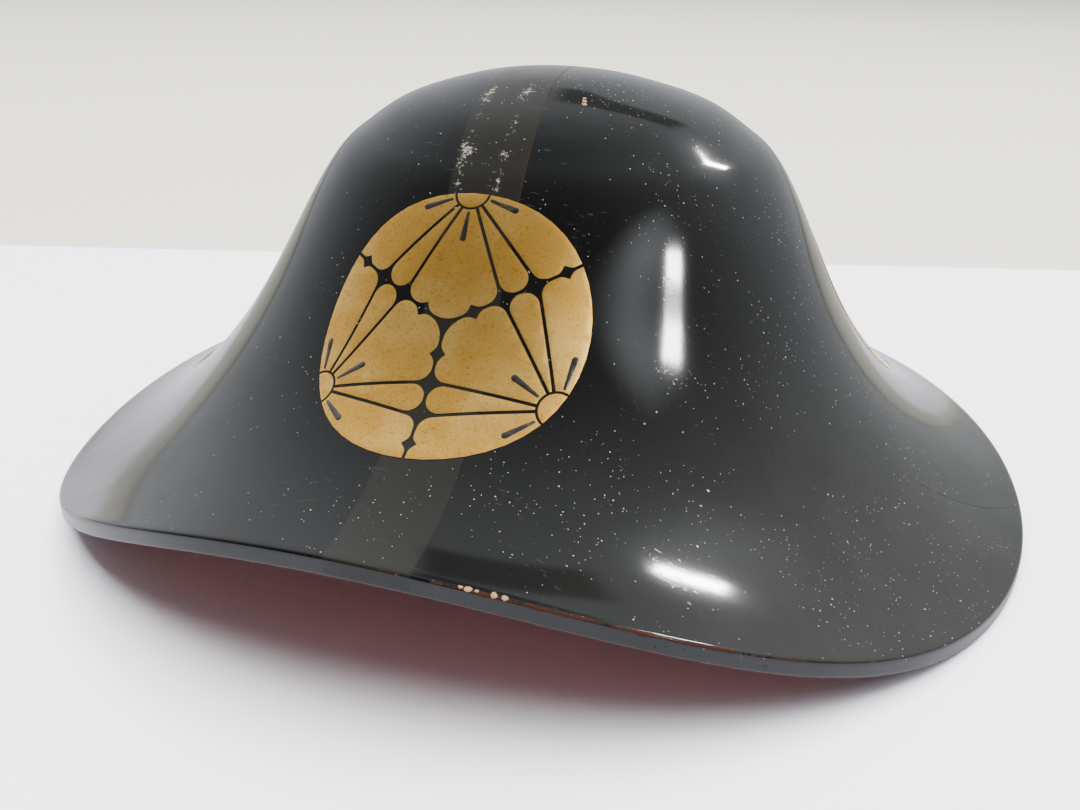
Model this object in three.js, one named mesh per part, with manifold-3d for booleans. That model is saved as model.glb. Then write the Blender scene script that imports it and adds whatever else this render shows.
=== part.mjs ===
import * as THREE from 'three';
import { NURBSCurve } from 'three/addons/curves/NURBSCurve.js';
import { mergeVertices } from 'three/addons/utils/BufferGeometryUtils.js';
import Module from 'manifold-3d';

// A jingasa: a bell-shaped lacquered war hat with a wide brim that arches up over the brow,
// and three gilt crests, one in front and one on each rear quarter.
// Millimetres. +Z is up, the front faces -Y, the wearer's left is +X. The brim rests on z = 0.

// Driving dimensions
const brimHalfWidth = 180;
const crownTop = 149;
const crownRadius = 71.3;
const browRise = 47.5;
const edgeHeight = 5.5;
const edgeWidth = 4.5;
const edgeRound = 1;
const restingWear = 0.5;
const wall = 3;
const crestRadius = 42.8;
const crestTall = 1.04;
const crestThickness = 0.6;
const crestGap = 0.3;
const crestDrop = 124.7;

// The brim's edge from the front to the rear, the same on both sides.
// reach: shares of brimHalfWidth. rise: shares of browRise.
const brimSections = [
  { angle: 0, reach: 0.993, rise: 1 },
  { angle: 45, reach: 1.003, rise: 0.256 },
  { angle: 90, reach: 1, rise: 0.054 },
  { angle: 135, reach: 1.052, rise: 0.097 },
  { angle: 180, reach: 1.195, rise: 0 },
];

// The hoops that pull the surface from the top of the crown down to the brim's edge.
// crown: share of crownRadius. brim: share of the way from there out to the edge.
// forward: shift to the front, in shares of crownRadius. height: share of the height above
// the mean edge. wave: share of the edge's own rise and fall that the hoop follows.
const hoops = [
  { crown: 0, brim: 0, forward: 0, height: 1, wave: 0 },
  { crown: 0.254, brim: 0, forward: -0.032, height: 1, wave: 0 },
  { crown: 0.523, brim: 0, forward: -0.061, height: 0.964, wave: 0 },
  { crown: 0.813, brim: 0, forward: -0.109, height: 0.915, wave: 0 },
  { crown: 1, brim: 0, forward: -0.117, height: 0.835, wave: 0 },
  { crown: 1, brim: 0.14, forward: -0.141, height: 0.76, wave: 0 },
  { crown: 1, brim: 0.502, forward: 0, height: 0.129, wave: 0.5 },
  { crown: 1, brim: 1, forward: 0, height: 0, wave: 1 },
];
const degree = 3;

// Where the crests sit. turn: from the front. fall: the way down from the crown's top, in shares
// of crestDrop. lean: how far the pattern leans, clockwise.
const crests = [
  { name: 'crest_front', turn: -0.5, fall: 1, lean: -3 },
  { name: 'crest_left_rear', turn: 121, fall: 1.267, lean: 0 },
  { name: 'crest_right_rear', turn: -121, fall: 1.267, lean: 0 },
];

// The crest's pattern, in shares of crestRadius. out: along the seam from the middle.
// along and across: half the star's length on the seam and towards the flowers' roots.
const flowers = 3;
const rootRadius = 0.15;
const stamenReach = 0.36;
const stamenWidth = 0.045;
const starHollow = 0.6;
const stamenTurns = [-69, 0, 69];
const stars = [
  { out: 0.215, along: 0.055, across: 0.05 },
  { out: 0.42, along: 0.1, across: 0.1 },
  { out: 0.68, along: 0.1, across: 0.1 },
  { out: 0.885, along: 0.055, across: 0.04 },
];

// How finely the surfaces are divided
const meridians = 64;
const outerRows = 21;
const innerRows = 12;
const crestRings = 6;
const crestSpokes = 32;
const starSteps = 2;
const lengthStops = 160;
const wrapStrides = 6;
const halvings = 24;
const mergeReach = 1e-4;
const cutterReach = 3;

// A smooth even curve round the brim through one column of its sections
function aroundBrim(column, scale) {
  const last = brimSections.length - 1;
  const terms = brimSections.map((unused, order) => {
    let sum = 0;
    brimSections.forEach((section, place) => {
      const end = place === 0 || place === last ? 0.5 : 1;
      sum += end * section[column] * Math.cos((Math.PI * order * place) / last);
    });
    const half = order === 0 || order === last ? 0.5 : 1;
    return (2 * half * sum * scale) / last;
  });
  const mean = terms[0];
  const at = (phi) => terms.reduce((sum, term, order) => sum + term * Math.cos(order * phi), 0);
  return { mean, at };
}

const brimReach = aroundBrim('reach', brimHalfWidth);
const brimRise = aroundBrim('rise', browRise);
const meanEdge = brimRise.mean + edgeHeight;

// Clamped knots, evenly spaced
const spans = hoops.length - degree;
const knots = [];
for (let i = 0; i < hoops.length + degree + 1; i += 1) {
  knots.push(THREE.MathUtils.clamp(i - degree, 0, spans) / spans);
}

// The outer surface's line from the crown's top (0) to the brim's edge (1), at one angle from
// the front
function meridian(phi) {
  const reach = brimReach.at(phi);
  const rise = brimRise.at(phi) - restingWear + edgeHeight - meanEdge;
  const points = hoops.map((hoop) => {
    const crown = hoop.crown * crownRadius;
    const rho = crown + hoop.brim * (reach - crownRadius)
      + hoop.forward * crownRadius * Math.cos(phi);
    const z = meanEdge + hoop.height * (crownTop - meanEdge) + hoop.wave * rise;
    return new THREE.Vector4(rho * Math.sin(phi), -rho * Math.cos(phi), z, 1);
  });
  return new NURBSCurve(degree, knots, points);
}

const step = 1e-3;

function outerPoint(t, phi) {
  return meridian(phi).getPoint(t);
}

function outerNormal(t, phi) {
  const s = THREE.MathUtils.clamp(t, step, 1 - step);
  const down = outerPoint(s + step, phi).sub(outerPoint(s - step, phi));
  const round = outerPoint(s, phi + step).sub(outerPoint(s, phi - step));
  return down.cross(round).normalize();
}

// The length down a meridian from the crown's top, and the way back from a length to a place
function meridianLength(phi) {
  const curve = meridian(phi);
  const drops = [0];
  let before = curve.getPoint(0);
  for (let i = 1; i <= lengthStops; i += 1) {
    const here = curve.getPoint(i / lengthStops);
    drops.push(drops[i - 1] + here.distanceTo(before));
    before = here;
  }
  const placeAt = (drop) => {
    const next = Math.max(1, drops.findIndex((stop) => stop >= drop));
    return (next - 1 + (drop - drops[next - 1]) / (drops[next] - drops[next - 1])) / lengthStops;
  };
  const dropAt = (t) => {
    const next = THREE.MathUtils.clamp(Math.ceil(t * lengthStops), 1, lengthStops);
    return THREE.MathUtils.lerp(drops[next - 1], drops[next], t * lengthStops - next + 1);
  };
  return { placeAt, dropAt };
}

// Evenly spaced places down a meridian, from below the crown's top to a given inset from the edge
function evenPlaces(phi, rows, inset) {
  const { placeAt, dropAt } = meridianLength(phi);
  const last = dropAt(shareInside(phi, inset));
  return Array.from({ length: rows }, (unused, i) => placeAt((last * (i + 1)) / rows));
}

function lifted(t, phi, away) {
  return outerPoint(t, phi).addScaledVector(outerNormal(t, phi), away);
}

function plainMesh(name, geometry, material) {
  geometry.computeVertexNormals();
  const mesh = new THREE.Mesh(geometry, material);
  mesh.name = name;
  return mesh;
}

// A closed skin from rings of points between two poles, listed so that the faces point out
function closedSkin(topPole, rings, bottomPole) {
  const points = [topPole, ...rings.flat(), bottomPole];
  const count = rings[0].length;
  const last = points.length - 1;
  const at = (row, place) => 1 + row * count + (place % count);
  const faces = [];
  for (let place = 0; place < count; place += 1) {
    faces.push(0, at(0, place), at(0, place + 1));
    for (let row = 0; row + 1 < rings.length; row += 1) {
      faces.push(at(row, place), at(row + 1, place), at(row + 1, place + 1));
      faces.push(at(row, place), at(row + 1, place + 1), at(row, place + 1));
    }
    faces.push(at(rings.length - 1, place), last, at(rings.length - 1, place + 1));
  }
  const geometry = new THREE.BufferGeometry().setFromPoints(points);
  geometry.setIndex(faces);
  return geometry;
}

// Where the outer surface stands a given distance in from the brim's edge
function shareInside(phi, distance) {
  const edge = brimReach.at(phi);
  let near = 0.5;
  let far = 1;
  for (let i = 0; i < halvings; i += 1) {
    const middle = (near + far) / 2;
    const point = outerPoint(middle, phi);
    if (edge - Math.hypot(point.x, point.y) > distance) near = middle;
    else far = middle;
  }
  return (near + far) / 2;
}

// Crown and brim in one: the outer skin, the thick upright edge that the brim rests on, and
// the hollow inside
function makeShell() {
  const turns = Array.from({ length: meridians }, (unused, i) => (2 * Math.PI * i) / meridians);
  const outerPlaces = turns.map((phi) => evenPlaces(phi, outerRows, edgeRound));
  const innerPlaces = turns.map((phi) => evenPlaces(phi, innerRows, edgeWidth));
  const rings = [];
  for (let row = 0; row < outerRows; row += 1) {
    rings.push(turns.map((phi, i) => outerPoint(outerPlaces[i][row], phi)));
  }
  const lip = (inset, zOf) => turns.map((phi) => {
    const rho = brimReach.at(phi) - inset;
    return new THREE.Vector3(rho * Math.sin(phi), -rho * Math.cos(phi), zOf(phi));
  });
  const wavyBottom = (phi) => brimRise.at(phi) - restingWear;
  const bottom = (phi) => Math.max(0, wavyBottom(phi));
  rings.push(lip(0, (phi) => wavyBottom(phi) + edgeHeight - edgeRound));
  rings.push(lip(0, (phi) => bottom(phi) + edgeRound));
  rings.push(lip(edgeRound, bottom));
  rings.push(lip(edgeWidth, bottom));
  for (let row = innerRows - 1; row >= 0; row -= 1) {
    rings.push(turns.map((phi, i) => lifted(innerPlaces[i][row], phi, -wall)));
  }
  return closedSkin(outerPoint(0, 0), rings, outerPoint(0, 0).setZ(crownTop - wall));
}

// A crest is laid out flat and wrapped on: upwards along the meridian through its middle and
// sideways along the hoops, both by length
function crestWrap(turn, fall) {
  const { placeAt } = meridianLength(turn);
  return (across, up, away) => {
    const t = placeAt(fall * crestDrop - up * crestTall);
    let phi = turn;
    for (let i = 0; i < wrapStrides; i += 1) {
      const here = outerPoint(t, phi);
      phi += across / wrapStrides / Math.hypot(here.x, here.y);
    }
    return lifted(t, phi, away);
  };
}

// The round gilt plate before its pattern is cut
function crestPlate(wrap) {
  const ring = (radius, away) => Array.from({ length: crestSpokes }, (unused, i) => {
    const angle = (2 * Math.PI * i) / crestSpokes;
    return wrap(-radius * Math.sin(angle), radius * Math.cos(angle), away);
  });
  const shares = Array.from({ length: crestRings }, (unused, i) => (i + 1) / crestRings);
  const radii = shares.map((share) => share * crestRadius);
  const top = crestGap + crestThickness;
  const rings = radii.map((radius) => ring(radius, top));
  const under = radii.map((radius) => ring(radius, crestGap)).reverse();
  return closedSkin(wrap(0, 0, top), [...rings, ...under], wrap(0, 0, crestGap));
}

// A point of the flat layout, at an angle from straight up, clockwise
function polar(angle, radius) {
  return new THREE.Vector2(Math.sin(angle) * radius, Math.cos(angle) * radius);
}

// A straight bar from one point to another
function bar(from, to, width) {
  const side = to.clone().sub(from).normalize().multiplyScalar(width / 2);
  const left = new THREE.Vector2(-side.y, side.x);
  return [
    from.clone().add(left),
    to.clone().add(left),
    to.clone().sub(left),
    from.clone().sub(left),
  ];
}

// A star with hollow sides through the given tips
function star(middle, tips) {
  return tips.flatMap((tip, i) => {
    const after = tips[(i + 1) % tips.length];
    const waist = tip.clone().add(after).multiplyScalar(0.5).lerp(middle, starHollow);
    const side = new THREE.QuadraticBezierCurve(tip, waist, after);
    return side.getPoints(starSteps).slice(0, -1);
  });
}

// The outlines cut out of a crest, in millimetres on its flat layout. Three flowers stand on
// the rim and look inwards; their petals meet along three seams set with stars.
function crestCuts(lean) {
  const cuts = [];
  for (let flower = 0; flower < flowers; flower += 1) {
    const toFlower = lean + (2 * Math.PI * flower) / flowers;
    const root = polar(toFlower, crestRadius);
    const seamTurn = Math.PI / flowers;
    stamenTurns.forEach((stamenTurn) => {
      const aim = polar(toFlower + Math.PI + THREE.MathUtils.degToRad(stamenTurn), 1);
      const from = root.clone().addScaledVector(aim, rootRadius * crestRadius);
      const to = root.clone().addScaledVector(aim, stamenReach * crestRadius);
      cuts.push(bar(from, to, stamenWidth * crestRadius));
    });
    stars.forEach(({ out, along, across }) => {
      const middle = polar(toFlower + seamTurn, out * crestRadius);
      const outward = polar(toFlower + seamTurn, along * crestRadius);
      const roots = [root, polar(toFlower + 2 * seamTurn, crestRadius)];
      const arms = roots.map((end) => end.clone().sub(middle).setLength(across * crestRadius));
      const tips = [
        middle.clone().add(outward),
        middle.clone().add(arms[1]),
        middle.clone().sub(outward),
        middle.clone().add(arms[0]),
      ];
      cuts.push(star(middle, tips));
    });
  }
  return cuts;
}

const wasm = await Module();
wasm.setup();

function toSolid(geometry) {
  geometry.deleteAttribute('normal');
  geometry.deleteAttribute('uv');
  const merged = mergeVertices(geometry, mergeReach);
  return new wasm.Manifold(new wasm.Mesh({
    numProp: 3,
    vertProperties: new Float32Array(merged.attributes.position.array),
    triVerts: new Uint32Array(merged.index.array),
  }));
}

function toGeometry(solid) {
  const { vertProperties, triVerts } = solid.getMesh();
  const geometry = new THREE.BufferGeometry();
  geometry.setAttribute('position', new THREE.BufferAttribute(vertProperties, 3));
  geometry.setIndex(new THREE.BufferAttribute(triVerts, 1));
  return geometry;
}

// A gilt crest with its pattern cut through, so that the black lacquer shows between the petals
function makeCrest(turn, fall, lean) {
  const wrap = crestWrap(turn, fall);
  const origin = wrap(0, 0, 0);
  const outward = wrap(0, 0, 1).sub(origin).normalize();
  const across = wrap(crestRadius, 0, 0).sub(wrap(-crestRadius, 0, 0)).normalize();
  const up = outward.clone().cross(across).normalize();
  const frame = new THREE.Matrix4().makeBasis(across, up, outward).setPosition(origin);
  const flat = frame.clone().invert();
  let plate = toSolid(crestPlate(wrap));
  crestCuts(lean).forEach((outline) => {
    const points = outline.map(({ x, y }) => wrap(x, y, crestGap).applyMatrix4(flat));
    const shape = new THREE.Shape(points.map((point) => new THREE.Vector2(point.x, point.y)));
    const depths = points.map((point) => point.z);
    const low = Math.min(...depths) - cutterReach;
    const high = Math.max(...depths) + cutterReach;
    const cutter = new THREE.ExtrudeGeometry(shape, { depth: high - low, bevelEnabled: false });
    cutter.translate(0, 0, low).applyMatrix4(frame);
    plate = plate.subtract(toSolid(cutter));
  });
  return toGeometry(plate);
}

const lacquer = new THREE.MeshStandardMaterial({ color: 0x1b1d1b, roughness: 0.18, metalness: 0 });

// The origin stands under the middle of the hat's length
const jingasa = new THREE.Group();
jingasa.position.y = (brimReach.at(0) - brimReach.at(Math.PI)) / 2;
jingasa.add(plainMesh('shell', makeShell(), lacquer));
crests.forEach(({ name, turn, fall, lean }) => {
  const gilt = new THREE.MeshStandardMaterial({ color: 0xb58a45, roughness: 0.42, metalness: 1 });
  const { degToRad } = THREE.MathUtils;
  jingasa.add(plainMesh(name, makeCrest(degToRad(turn), fall, degToRad(lean)), gilt));
});

export default jingasa;
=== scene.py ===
import math

import bmesh
import bpy
import numpy as np
from mathutils import Matrix, Vector, noise


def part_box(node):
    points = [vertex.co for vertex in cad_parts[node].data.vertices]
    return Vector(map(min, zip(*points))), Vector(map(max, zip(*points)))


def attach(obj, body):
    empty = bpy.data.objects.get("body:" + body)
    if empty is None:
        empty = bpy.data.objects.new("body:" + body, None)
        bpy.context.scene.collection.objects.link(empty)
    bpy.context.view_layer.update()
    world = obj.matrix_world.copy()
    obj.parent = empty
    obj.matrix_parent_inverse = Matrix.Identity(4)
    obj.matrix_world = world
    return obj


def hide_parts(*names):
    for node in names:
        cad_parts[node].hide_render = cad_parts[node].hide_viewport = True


# A lacquered war hat: a bell-shaped bowl with a wide brim that arches up over the brow, black
# outside and dark red inside, with a gilt crest in front and one on each rear quarter.
# Lengths in the value tables are millimetres and angles degrees. Objects are in metres.

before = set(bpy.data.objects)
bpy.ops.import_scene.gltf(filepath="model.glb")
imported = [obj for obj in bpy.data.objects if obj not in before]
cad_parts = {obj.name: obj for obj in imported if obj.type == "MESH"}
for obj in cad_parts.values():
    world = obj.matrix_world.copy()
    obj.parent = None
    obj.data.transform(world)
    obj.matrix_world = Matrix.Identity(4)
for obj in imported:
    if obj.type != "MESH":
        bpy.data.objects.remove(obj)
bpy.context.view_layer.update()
mm = 0.001

# The bell's form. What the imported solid's box gives is read from it.
form = {
    "crownRadius": 71.3,
    "browRise": 47.5,
    "edgeHeight": 5.5,
    "edgeWidth": 4.5,
    "edgeRound": 1,
    "restingWear": 0.5,
    "wall": 3,
}
shellLow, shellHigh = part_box("shell")
brimHalfWidth = shellHigh.x / mm
crownTop = shellHigh.z / mm

# The brim's edge from the front to the rear, in shares of brimHalfWidth and of browRise
brimSections = [
    {"angle": 0, "reach": 0.993, "rise": 1},
    {"angle": 45, "reach": 1.003, "rise": 0.256},
    {"angle": 90, "reach": 1, "rise": 0.054},
    {"angle": 135, "reach": 1.052, "rise": 0.097},
    {"angle": 180, "reach": 1.195, "rise": 0},
]

# The hoops that pull the surface from the top of the crown down to the brim's edge
hoops = [
    {"crown": 0, "brim": 0, "forward": 0, "height": 1, "wave": 0},
    {"crown": 0.254, "brim": 0, "forward": -0.032, "height": 1, "wave": 0},
    {"crown": 0.523, "brim": 0, "forward": -0.061, "height": 0.964, "wave": 0},
    {"crown": 0.813, "brim": 0, "forward": -0.109, "height": 0.915, "wave": 0},
    {"crown": 1, "brim": 0, "forward": -0.117, "height": 0.835, "wave": 0},
    {"crown": 1, "brim": 0.14, "forward": -0.141, "height": 0.76, "wave": 0},
    {"crown": 1, "brim": 0.502, "forward": 0, "height": 0.129, "wave": 0.5},
    {"crown": 1, "brim": 1, "forward": 0, "height": 0, "wave": 1},
]
degree = 3
lengthStops = 400


def column(rows, name):
    return np.array([row[name] for row in rows], float)


# A smooth even curve round the brim, as the terms of a cosine series
def brimTerms(values):
    last = len(values) - 1
    order = np.arange(len(values))
    ends = np.where((order == 0) | (order == last), 0.5, 1)
    waves = np.cos(math.pi * np.outer(order, order) / last)
    return 2 / last * ends * (waves @ (ends * values))


def roundBrim(terms, phi):
    return sum(term * np.cos(order * phi) for order, term in enumerate(terms))


reachTerms = brimTerms(column(brimSections, "reach") * brimHalfWidth)
riseTerms = brimTerms(column(brimSections, "rise") * form["browRise"])
meanEdge = riseTerms[0] + form["edgeHeight"]
middleY = shellLow.y / mm + roundBrim(reachTerms, 0)


# How much each hoop pulls at a share t of the way down
def hoopWeights(t):
    t = np.clip(t, 0, 1 - 1e-9)
    spans = len(hoops) - degree
    knots = np.clip((np.arange(len(hoops) + degree + 1) - degree) / spans, 0, 1)
    weights = [np.where((a <= t) & (t < b), 1.0, 0.0) for a, b in zip(knots, knots[1:])]
    for level in range(1, degree + 1):
        longer = []
        for i in range(len(weights) - 1):
            rising = knots[i + level] - knots[i]
            falling = knots[i + level + 1] - knots[i + 1]
            up = (t - knots[i]) / rising * weights[i] if rising else 0
            down = (knots[i + level + 1] - t) / falling * weights[i + 1] if falling else 0
            longer.append(up + down)
        weights = longer
    return np.stack(weights, -1)


# The outer surface at shares t of the way down and angles phi from the front
def bell(t, phi):
    weights = hoopWeights(t)
    pull = {name: weights @ column(hoops, name) for name in hoops[0]}
    crown = form["crownRadius"]
    rho = pull["crown"] * crown + pull["brim"] * (roundBrim(reachTerms, phi) - crown)
    rho = rho + pull["forward"] * crown * np.cos(phi)
    rise = roundBrim(riseTerms, phi) - form["restingWear"] + form["edgeHeight"] - meanEdge
    z = meanEdge + pull["height"] * (crownTop - meanEdge) + pull["wave"] * rise
    return np.stack([rho * np.sin(phi), middleY - rho * np.cos(phi), z], -1)


def bellNormal(t, phi):
    step = 1e-3
    t = np.clip(t, step, 1 - step)
    down = bell(t + step, phi) - bell(t - step, phi)
    across = bell(t, phi + step) - bell(t, phi - step)
    normal = np.cross(down, across)
    return normal / np.linalg.norm(normal, axis=-1, keepdims=True)


# The slight unevenness of a hand-made surface, which dies out towards the brim's edge
unevenness = {"depth": 0.12, "length": 60, "fade": 30, "fineDepth": 0.012, "fineLength": 17}


def uneven(points, phi):
    values = unevenness
    fromEdge = roundBrim(reachTerms, phi) - np.hypot(points[:, 0], points[:, 1] - middleY)
    fade = np.clip(fromEdge / values["fade"], 0, 1)
    coarse = [noise.noise(Vector(point) / values["length"]) for point in points]
    fine = [noise.noise(Vector(point) / values["fineLength"]) for point in points]
    return fade * (values["depth"] * np.array(coarse) + values["fineDepth"] * np.array(fine))


# Points on the finished surface, or away from it along its normal
def onShell(t, phi, away=0):
    points = bell(t, phi)
    return points + bellNormal(t, phi) * (uneven(points, phi) + away)[:, None]


# The lengths from the crown's top down one meridian, at evenly spaced shares
def meridianLengths(phi):
    shares = np.linspace(0, 1, lengthStops)
    points = bell(shares, np.full(lengthStops, phi))
    steps = np.linalg.norm(np.diff(points, axis=0), axis=1)
    return shares, np.concatenate([[0], np.cumsum(steps)]), points


def srgb(code):
    parts = [int(code[i:i + 2], 16) / 255 for i in (1, 3, 5)]
    linear = [c / 12.92 if c <= 0.04045 else ((c + 0.055) / 1.055) ** 2.4 for c in parts]
    return (*linear, 1)


# What each kind of node calls its mode
modeNames = {
    "Math": "operation",
    "VectorMath": "operation",
    "MapRange": "interpolation_type",
    "Mix": "data_type",
}


# Adds a node in a mode and with its settings, sets or links its sockets, and gives an output
def add(tree, kind, sockets, mode=None, give=0, **settings):
    node = tree.nodes.new("ShaderNode" + kind)
    if mode:
        settings[modeNames[kind]] = mode
    for name, value in settings.items():
        setattr(node, name, value)
    if not isinstance(sockets, dict):
        sockets = dict(enumerate(sockets))
    for socket, value in sockets.items():
        if isinstance(value, bpy.types.NodeSocket):
            tree.links.new(value, node.inputs[socket])
        else:
            node.inputs[socket].default_value = value
    return node.outputs[give] if node.outputs else None


def newMaterial(name):
    material = bpy.data.materials.new(name)
    material.use_nodes = True
    tree = material.node_tree
    tree.nodes.clear()
    return material, tree


def finishMaterial(tree, sockets):
    shader = add(tree, "BsdfPrincipled", sockets)
    add(tree, "OutputMaterial", {"Surface": shader})


blackLacquerValues = {
    "colour": "#040404",
    "hazeColour": "#080807",
    "hazeLength": 45,
    "gloss": 0.42,
    "coatRoughness": 0.08,
    "undercoatShine": 0.0,
    "orangePeelLength": 3,
    "orangePeelDepth": 0.003,
    "rubLength": 0.4,
    "rubDepth": 0.0022,
    "film": {"colour": "#1b1b18", "from": 0.3, "to": 0.9, "length": 30, "least": 0.08},
    "band": {
        "middle": 0,
        "middleAt": -88,
        "slant": -0.09,
        "halfWidth": 11.5,
        "colour": "#13120f",
        "dull": 0.12,
        "thickness": 0.05,
        "edgeColour": "#1c1410",
    },
    "crust": {
        "lines": [{"across": -9, "width": 5}, {"across": 4, "width": 6}],
        "length": 1.5,
        "colour": "#77736a",
        "thickness": 0.08,
    },
    "specks": [
        {"spacing": 1.1, "radius": 0.13, "share": 0.45, "colour": "#6c6f70"},
        {"spacing": 2.4, "radius": 0.18, "share": 0.35, "colour": "#767774"},
        {"spacing": 8, "radius": 0.34, "share": 0.3, "colour": "#8a8478"},
    ],
    "hairs": [(0.3, 0.9, 0.5), (1.2, 0.2, 2.1), (0.8, 1.4, 1.1)],
    "hairWidth": 0.5,
    "hairStretch": 0.012,
    "hairShare": 0.7,
    "hairDepth": 0.004,
    "hairColour": "#1c1d1c",
    "lipWear": 0.65,
    "lipColour": "#2e1b14",
    # The edge face's colour: black lacquer with a painted faint bluish sheen, standing in for its
    # reflection
    "edgeColour": "#0b0e10",
    "footColour": "#4a3836",
    "chipColour": "#86684c",
    "chipDepth": 0.15,
    "chips": [
        {"x": 33, "y": -193.3, "z": 50, "radius": 0.9},
        {"x": 35, "y": -193, "z": 49.6, "radius": 1.1},
        {"x": 37, "y": -192.5, "z": 49, "radius": 0.7},
        {"x": 41, "y": -191.5, "z": 48.2, "radius": 1.3},
        {"x": 43.3, "y": -191, "z": 47.5, "radius": 0.9},
        {"x": 19.5, "y": -47, "z": 143.2, "radius": 0.8},
        {"x": 20, "y": -49, "z": 142.6, "radius": 0.8},
        {"x": 20.4, "y": -51, "z": 142, "radius": 0.9},
        {"x": -97, "y": -170, "z": 30, "radius": 1.2},
        {"x": 97, "y": -165, "z": 26, "radius": 0.9},
        {"x": 112, "y": -157, "z": 22, "radius": 0.7},
    ],
    "dents": [
        {"x": 19, "y": -65, "z": 137, "radius": 6, "depth": 0.12},
        {"x": 12, "y": -68, "z": 136, "radius": 4, "depth": 0.08},
    ],
    "cracks": [
        {"from": (135, -54, 30), "to": (176, -24, 9), "bow": 4},
        {"from": (161, -51, 13), "to": (177, -51, 7), "bow": 2},
    ],
    "crackWidth": 0.25,
    "crackDepth": 0.15,
    "crackColour": "#050505",
}


# Layers what is seen or felt at a share: its colour, how much gloss it takes away, its relief
def layer(tree, finish, share, colour=None, dull=0.0, relief=0.0):
    if colour:
        finish["colour"] = add(tree, "Mix", {0: share, 6: finish["colour"], 7: srgb(colour)}, "RGBA", 2)
    if dull:
        kept = add(tree, "Math", (share, -dull, 1.0), "MULTIPLY_ADD")
        finish["gloss"] = add(tree, "Math", (finish["gloss"], kept), "MULTIPLY")
    if relief:
        finish["height"] = add(tree, "Math", (share, relief, finish["height"]), "MULTIPLY_ADD")


# The paler band that runs from front to back, with a brown line down its edge on the wearer's
# left, and the crusts of old glue on it, most of them above the front crest
def layBand(tree, coords, finish, values):
    band = values["band"]
    crust = values["crust"]
    x, y, z = add(tree, "SeparateXYZ", (coords,)).node.outputs
    back = add(tree, "Math", (y, band["middleAt"] * mm), "SUBTRACT")
    middle = add(tree, "Math", (back, band["slant"], band["middle"] * mm), "MULTIPLY_ADD")
    across = add(tree, "Math", (x, middle), "SUBTRACT")
    wobbleNoise = add(
        tree, "TexNoise", {"Vector": coords, "Scale": 1 / (4 * mm), "Detail": 4, "Roughness": 0.7}
    )
    wobble = add(tree, "Math", (wobbleNoise, 0.5), "SUBTRACT")
    half = band["halfWidth"] * mm
    ragged = add(tree, "Math", (wobble, 0.8 * mm, across), "MULTIPLY_ADD")
    leftSide = add(tree, "MapRange", (ragged, -half - 0.6 * mm, -half + 0.6 * mm), "SMOOTHSTEP")
    rightSide = add(tree, "MapRange", (ragged, half, half - 0.25 * mm), "SMOOTHSTEP")
    inBand = add(tree, "Math", (leftSide, rightSide), "MULTIPLY")
    layer(tree, finish, inBand, band["colour"], band["dull"], band["thickness"])

    above = add(tree, "MapRange", (z, 108 * mm, 124 * mm), "SMOOTHSTEP")
    onFront = add(tree, "MapRange", (y, -25 * mm, -45 * mm), "SMOOTHSTEP")
    offEdge = add(tree, "Math", (ragged, half), "SUBTRACT")
    fromEdge = add(tree, "Math", (offEdge,), "ABSOLUTE")
    nearEdge = add(tree, "MapRange", (fromEdge, 0.5 * mm, 0.2 * mm), "SMOOTHSTEP")
    edge = add(tree, "Math", (nearEdge, above), "MULTIPLY")
    layer(tree, finish, edge, band["edgeColour"], 0.3)

    highUp = add(tree, "Math", (above, 0.75, 0.25), "MULTIPLY_ADD")
    amount = add(tree, "Math", (highUp, onFront), "MULTIPLY")
    crumbs = add(
        tree,
        "TexNoise",
        {"Vector": coords, "Scale": 1 / (crust["length"] * mm), "Detail": 5, "Roughness": 0.75},
    )
    patches = add(tree, "TexNoise", {"Vector": coords, "Scale": 1 / (9 * mm), "Detail": 2})
    level = add(tree, "Math", (patches, 0.55, crumbs), "MULTIPLY_ADD")
    for line in crust["lines"]:
        offLine = add(tree, "Math", (across, line["across"] * mm), "SUBTRACT")
        aside = add(tree, "Math", (offLine,), "ABSOLUTE")
        near = add(tree, "MapRange", (aside, line["width"] * mm, 0), "SMOOTHSTEP")
        there = add(tree, "Math", (near, amount), "MULTIPLY")
        crumbLevel = add(tree, "Math", (there, 0.27, level), "MULTIPLY_ADD")
        share = add(tree, "MapRange", (crumbLevel, 1.07, 1.2), "SMOOTHSTEP")
        layer(tree, finish, share, crust["colour"], 1.0, crust["thickness"])


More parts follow.
